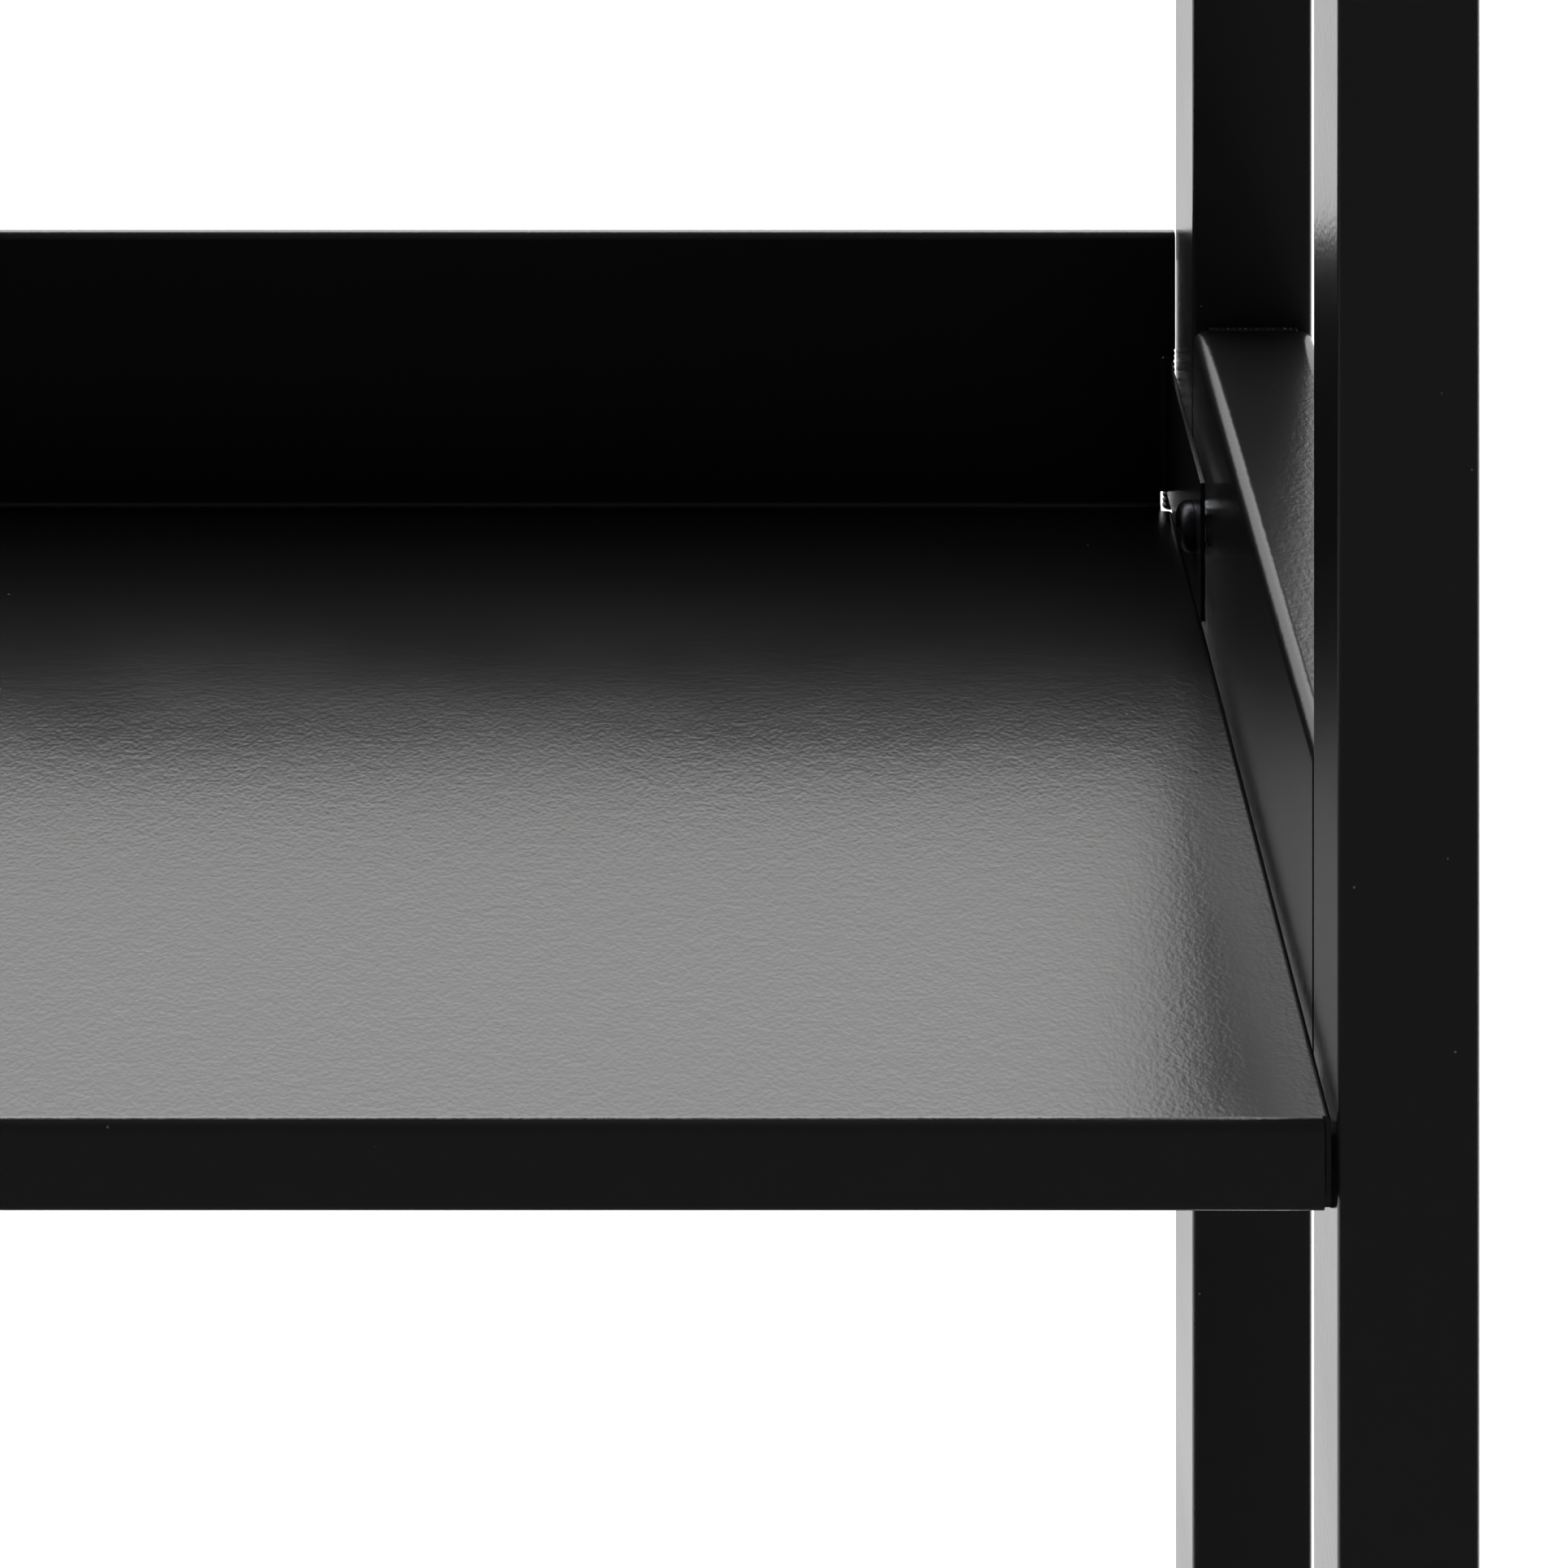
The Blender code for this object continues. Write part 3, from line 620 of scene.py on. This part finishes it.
class RackSizes(bpy.types.PropertyGroup):
    """Sizes of the folded, rolled and moulded detail that the frame doesn't state."""
    post_wall: length_property("Post wall", "Wall of the post tube", 1.5)
    post_corner: length_property("Post corner", "Outside corner radius of the post tube", 1.8)
    rail_corner: length_property("Rail corner", "Outside corner radius of the tray rails", 3.8)
    corner_segments: IntProperty(name="Corner segments", description="Faces round a tube's corner",
                                 default=8)
    sheet: length_property("Sheet", "Thickness of the tray's sheet", 1.2)
    bend: length_property("Bend", "Bend radius of the tray's folds", 1.5)
    lip_bend: length_property("Lip bend", "Bend radius between floor and front lip", 2.5)
    bend_segments: IntProperty(name="Bend segments", description="Faces round a fold", default=8)
    hem_gap: length_property("Hem gap", "Slot inside a hem", 0.8)
    hem_height: length_property("Hem height", "Height of a folded hem", 8.0)
    back_wall: length_property("Back wall", "Height of the back wall above the floor", 70.0)
    side_gap: length_property("Side gap", "Folded sides to the rails", 1.0)
    lip_end_gap: length_property("Lip end gap", "Lip to the posts' inner faces", 2.8)
    side_depth: length_property("Side depth", "Depth of the folded sides", 17.7)
    side_flange: length_property("Side flange", "Width of the flange that rests on the tabs", 20.0)
    ear_offset: length_property("Ear offset", "Inner side of an ear to the rail", 2.6)
    ear_relief: length_property("Ear relief", "Bottom of an ear above the fold", 2.5)
    ear_height: length_property("Ear height", "Height of an ear", 34.0)
    ear_margin: length_property("Ear margin", "Ear past its bolt", 12.0)
    deburr: length_property("Deburred edge", "Rounding of the sheet's cut edges", 0.15)
    weld_radius: length_property("Weld bead", "Radius of a weld bead", 0.8)
    corner_weld: length_property("Corner weld", "Radius of the bead at a tray's rear corner", 1.5)
    tab_corner: length_property("Tab corner", "Radius of a support tab's free corners", 4.0)
    tab_edge: length_property("Tab edge", "Rounding of a support tab's broken edges", 0.3)
    bolt_head: length_property("Bolt head", "Height of a button head", 3.6)
    bolt_rim: length_property("Bolt rim", "Upright edge of a button head", 0.5)
    bolt_crown: length_property("Bolt crown", "Radius of the flat in the middle of a button head", 3.055)
    bolt_radius: length_property("Bolt radius", "Outer radius of the bolt's thread", 3.0)
    bolt_pitch: length_property("Bolt pitch", "Pitch of the M6 thread", 1.0)
    bolt_socket: length_property("Bolt socket", "Corner radius of the hexagon socket", 2.3)
    socket_depth: length_property("Socket depth", "Depth of the hexagon socket", 2.0)
    cap_flange: length_property("Cap flange", "Thickness of a post cap's flange", 3.0)
    insert_flange: length_property("Insert flange", "Thickness of a foot insert's flange", 2.5)
    plug_inset: length_property("Plug inset", "Plug body inside the tube's outer face", 1.8)
    plug_pillow: length_property("Plug pillow", "Rounding round a plug's flange", 0.8)
    plug_corner: length_property("Plug corner", "Rounding of a plug's body", 1.0)
    touch: length_property("Touch gap", "Gap between pieces that touch", 0.3)
    socket_radius: length_property("Pad socket", "Radius of the pad's socket", 3.3)
    pad_collar: length_property("Pad collar", "Radius of the pad's flat top", 7.5)
    pad_tread: length_property("Pad tread", "Rubber below the socket", 2.2)
    stud_collar: length_property("Stud collar", "Height of the six-sided collar", 5.0)
    stud_radius: length_property("Stud radius", "Outer radius of the M8 thread", 4.0)
    stud_pitch: length_property("Stud pitch", "Pitch of the M8 thread", 1.25)
    neck_radius: length_property("Stud neck", "Radius of the neck in the pad", 3.0)


class RackFinishes(bpy.types.PropertyGroup):
    """Colour and texture of the powder coat."""
    coat_color: StringProperty(name="Coat colour", description="sRGB hex colour", default="#111112")
    coat_roughness: FloatProperty(name="Coat roughness", description="Blur of its reflections",
                                  default=0.24, subtype="FACTOR")
    grain_mm: FloatProperty(name="Grain", description="Width of the coat's fine grain, in mm", default=1.1)
    grain_height_mm: FloatProperty(name="Grain height", description="Height of the grain, in mm",
                                   default=0.045)
    peel_mm: FloatProperty(name="Orange peel", description="Width of its slow waves, in mm", default=3.5)
    peel_height_mm: FloatProperty(name="Peel height", description="Height of the waves, in mm",
                                  default=0.03)


class RackStudio(bpy.types.PropertyGroup):
    """The camera's place in front of the lower tray, the light and the floor."""
    distance: FloatProperty(name="Distance", description="Camera in front of the front posts",
                            default=1.0135, unit="LENGTH")
    rise: FloatProperty(name="Rise", description="Camera above the lower tray's floor", default=0.722,
                        unit="LENGTH")
    aside: FloatProperty(name="Aside", description="Camera left of the right posts' inner faces",
                         default=0.1892, unit="LENGTH")
    turn: FloatProperty(name="Turn", description="Sideways slope of the line of sight", default=0.0718)
    fall: FloatProperty(name="Fall", description="Downward slope of the line of sight", default=0.6418)
    lens_mm: FloatProperty(name="Lens", description="Focal length in mm", default=131.9)
    backdrop: FloatProperty(name="Backdrop", description="Brightest light from behind the rack",
                            default=8.0)
    front_fill: FloatProperty(name="Front fill", description="Light from the camera's side", default=0.09)
    lamp_power: FloatProperty(name="Softbox power", description="Power of the softbox, in watts",
                              default=160.0)
    lamp_size: FloatProperty(name="Softbox size", description="Side of the softbox", default=4.0,
                             unit="LENGTH")
    lamp_rise: FloatProperty(name="Softbox rise", description="Softbox above the floor", default=5.0,
                             unit="LENGTH")
    lamp_back: FloatProperty(name="Softbox back", description="Softbox behind the rack's middle",
                             default=0.4, unit="LENGTH")
    floor_color: StringProperty(name="Floor colour", description="sRGB hex colour", default="#d6d6d5")
    floor_reach: FloatProperty(name="Floor reach", description="Floor out from the rack", default=30.0,
                               unit="LENGTH")


# ---- operators ---------------------------------------------------------------------------------


class RACK_OT_tubes(bpy.types.Operator):
    """Build the posts, the rails and the stretcher"""
    bl_idname = "rack.tubes"
    bl_label = "Posts and rails"

    def execute(self, context):
        size = sizes()
        for end in ENDS:
            for side in SIDES:
                tube(f"{end}_{side}_post", 2, size.post_wall, size.post_corner)
        for side in SIDES:
            tube(f"low_{side}_rail", 1, size.post_wall, size.post_corner)
            for level in LEVELS:
                tube(f"{level}_{side}_rail", 1, size.post_wall, size.rail_corner)
        tube("rear_stretcher", 0, size.post_wall, size.post_corner)
        return {"FINISHED"}


class RACK_OT_welds(bpy.types.Operator):
    """Lay the weld beads between rails, tabs and posts"""
    bl_idname = "rack.welds"
    bl_label = "Welds"

    def execute(self, context):
        size = sizes()
        for side in SIDES:
            rail_welds(f"low_{side}_rail", 2 * size.post_corner)
            for level in LEVELS:
                rail_welds(f"{level}_{side}_rail", size.rail_corner)
                tray_corner_weld(level, side)
                tab_weld(level, side)
        return {"FINISHED"}


class RACK_OT_trays(bpy.types.Operator):
    """Fold the three trays and cut their support tabs"""
    bl_idname = "rack.trays"
    bl_label = "Trays and tabs"

    def execute(self, context):
        for level in LEVELS:
            tray(level)
            for side in SIDES:
                tab(level, side)
        return {"FINISHED"}


class RACK_OT_bolts(bpy.types.Operator):
    """Turn the bolts, and finish the nuts that stay inside the tubes"""
    bl_idname = "rack.bolts"
    bl_label = "Bolts and nuts"

    def execute(self, context):
        for side, sign in SIDES.items():
            bolt(f"stretcher_{side}_bolt", (sign, 0, 0))
            hidden = [f"stretcher_{side}_nut_plug"]
            for level in LEVELS:
                bolt(f"{level}_{side}_ear_bolt", (-sign, 0, 0))
                bolt(f"{level}_{side}_tab_bolt", (0, 0, -1))
                hidden.append(f"{level}_{side}_rivet_nut")
            for node in hidden:
                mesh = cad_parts[node].data
                mesh.materials.clear()
                mesh.materials.append(bright_zinc())
        return {"FINISHED"}


class RACK_OT_plastics(bpy.types.Operator):
    """Mould the post caps and the foot inserts"""
    bl_idname = "rack.plastics"
    bl_label = "Caps and inserts"

    def execute(self, context):
        for end in ENDS:
            for side in SIDES:
                plug(f"{end}_{side}_cap", -1)
                plug(f"{end}_{side}_foot_insert", 1)
        return {"FINISHED"}


class RACK_OT_feet(bpy.types.Operator):
    """Make the levelling feet: threaded studs and their pads"""
    bl_idname = "rack.feet"
    bl_label = "Levelling feet"

    def execute(self, context):
        for end in ENDS:
            for side in SIDES:
                foot_pad(end, side)
                foot_stud(end, side)
        return {"FINISHED"}


class RACK_OT_stage(bpy.types.Operator):
    """Set the floor, the light and the camera"""
    bl_idname = "rack.stage"
    bl_label = "Studio"

    def execute(self, context):
        add_floor()
        add_world()
        add_lamp()
        add_camera()
        context.scene.view_settings.view_transform = "Standard"
        context.scene.view_settings.look = "None"
        return {"FINISHED"}


# ---- studio ------------------------------------------------------------------------------------


def add_floor():
    """A wide floor painted with a roller, whose fine stipple leaves it matt."""
    bm = bmesh.new()
    bmesh.ops.create_grid(bm, x_segments=1, y_segments=1, size=studio().floor_reach)
    mesh = bpy.data.meshes.new("studio_floor")
    bm.to_mesh(mesh)
    bm.free()
    floor = bpy.data.objects.new("studio_floor", mesh)
    bpy.context.scene.collection.objects.link(floor)
    material, tree, shader, place = new_material("matt studio paint", studio().floor_color, 0.9)
    shader.inputs["Specular IOR Level"].default_value = 0.1
    stipple = add_node(tree, "ShaderNodeTexNoise", {"Scale": 1 / (2 * MM)}, {"Vector": place})
    relief = add_node(tree, "ShaderNodeBump", {"Strength": 1.0, "Distance": 0.02 * MM},
                      {"Height": stipple.outputs["Fac"]})
    tree.links.new(relief.outputs["Normal"], shader.inputs["Normal"])
    mesh.materials.append(material)
    floor.visible_glossy = False


def add_world():
    """A pale room to look at; for the light, a bright sky behind the rack and a dim one in front."""
    world = bpy.data.worlds.new("studio")
    bpy.context.scene.world = world
    world.use_nodes = True
    tree = world.node_tree
    tree.nodes.clear()
    direction = add_node(tree, "ShaderNodeTexCoord").outputs["Generated"]
    split = add_node(tree, "ShaderNodeSeparateXYZ", links={"Vector": direction})
    behind = add_node(tree, "ShaderNodeMapRange",
                      {"From Min": -0.1, "From Max": 0.2, "To Min": 0.0, "To Max": studio().backdrop},
                      {"Value": split.outputs["Y"]})
    ramp = add_node(tree, "ShaderNodeValToRGB", links={"Fac": split.outputs["Z"]})
    stops = ramp.color_ramp.elements
    for height, level in SKY:
        stop = stops.new(height)
        stop.color = (level, level, level, 1)
    stops.remove(stops[0])
    stops.remove(stops[-1])
    lit = add_node(tree, "ShaderNodeMath", links={0: behind.outputs["Result"], 1: ramp.outputs["Color"]},
                   operation="MULTIPLY")
    total = add_node(tree, "ShaderNodeMath", {1: studio().front_fill}, {0: lit.outputs[0]}, operation="ADD")
    seen = add_node(tree, "ShaderNodeBackground", {"Color": to_linear("#fdfdfd"), "Strength": 1.0})
    light = add_node(tree, "ShaderNodeBackground", {"Color": (1, 1, 1, 1)}, {"Strength": total.outputs[0]})
    ray = add_node(tree, "ShaderNodeLightPath").outputs["Is Camera Ray"]
    both = add_node(tree, "ShaderNodeMixShader", links={0: ray, 1: light.outputs[0], 2: seen.outputs[0]})
    add_node(tree, "ShaderNodeOutputWorld", links={"Surface": both.outputs[0]})


def add_lamp():
    """A softbox overhead, for the floor's soft shadow. No surface mirrors it: the world does that."""
    view = studio()
    light = bpy.data.lights.new("overhead_softbox", "AREA")
    light.shape = "SQUARE"
    light.size = view.lamp_size
    light.energy = view.lamp_power
    lamp = bpy.data.objects.new("overhead_softbox", light)
    bpy.context.scene.collection.objects.link(lamp)
    lamp.location = (0, view.lamp_back, view.lamp_rise)
    lamp.visible_glossy = False


def add_camera():
    """A level camera whose line of sight falls and turns, as a view camera's does with its front lowered.

    Its mount is sheared, not turned, so upright edges stay upright.
    """
    view = studio()
    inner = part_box("lower_right_rail")[0].x
    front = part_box("lower_tray")[0].y
    floor_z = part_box("lower_tray")[1].z - sizes().back_wall
    place = Vector((inner - view.aside, front - view.distance, floor_z + view.rise))
    sight = Vector((view.turn, 1.0, -view.fall)).normalized()
    mount = bpy.data.objects.new("camera_mount", None)
    mount.location = place
    camera_data = bpy.data.cameras.new("studio_camera")
    camera_data.lens = view.lens_mm
    camera_data.sensor_width = 36.0
    camera_data.clip_end = 100.0
    camera = bpy.data.objects.new("studio_camera", camera_data)
    for item in (mount, camera):
        bpy.context.scene.collection.objects.link(item)
    camera.parent = mount
    shear = Matrix.Identity(4)
    shear.col[1] = (0, 0, 1, 0)                      # the picture's upright is the world's
    shear.col[2] = (*-sight, 0)
    camera.matrix_parent_inverse = shear
    bpy.context.scene.camera = camera


# ---- panel and registration --------------------------------------------------------------------

STEPS = ("tubes", "welds", "trays", "bolts", "plastics", "feet", "stage")


class RACK_PT_panel(bpy.types.Panel):
    """Lists the steps and the main settings"""
    bl_label = "Over-the-toilet rack"
    bl_idname = "RACK_PT_panel"
    bl_space_type = "VIEW_3D"
    bl_region_type = "UI"
    bl_category = "Rack"

    def draw(self, context):
        for step in STEPS:
            self.layout.operator(f"rack.{step}")
        for name in ("coat_color", "coat_roughness", "grain_mm", "peel_mm"):
            self.layout.prop(context.scene.rack_finishes, name)


CLASSES = (RackSizes, RackFinishes, RackStudio, RACK_OT_tubes, RACK_OT_welds, RACK_OT_trays, RACK_OT_bolts,
           RACK_OT_plastics, RACK_OT_feet, RACK_OT_stage, RACK_PT_panel)


def register():
    for item in CLASSES:
        bpy.utils.register_class(item)
    bpy.types.Scene.rack_sizes = PointerProperty(type=RackSizes)
    bpy.types.Scene.rack_finishes = PointerProperty(type=RackFinishes)
    bpy.types.Scene.rack_studio = PointerProperty(type=RackStudio)


def unregister():
    del bpy.types.Scene.rack_sizes
    del bpy.types.Scene.rack_finishes
    del bpy.types.Scene.rack_studio
    for item in reversed(CLASSES):
        bpy.utils.unregister_class(item)


def main():
    register()
    for step in STEPS:
        getattr(bpy.ops.rack, step)()


if __name__ == "__main__":
    main()
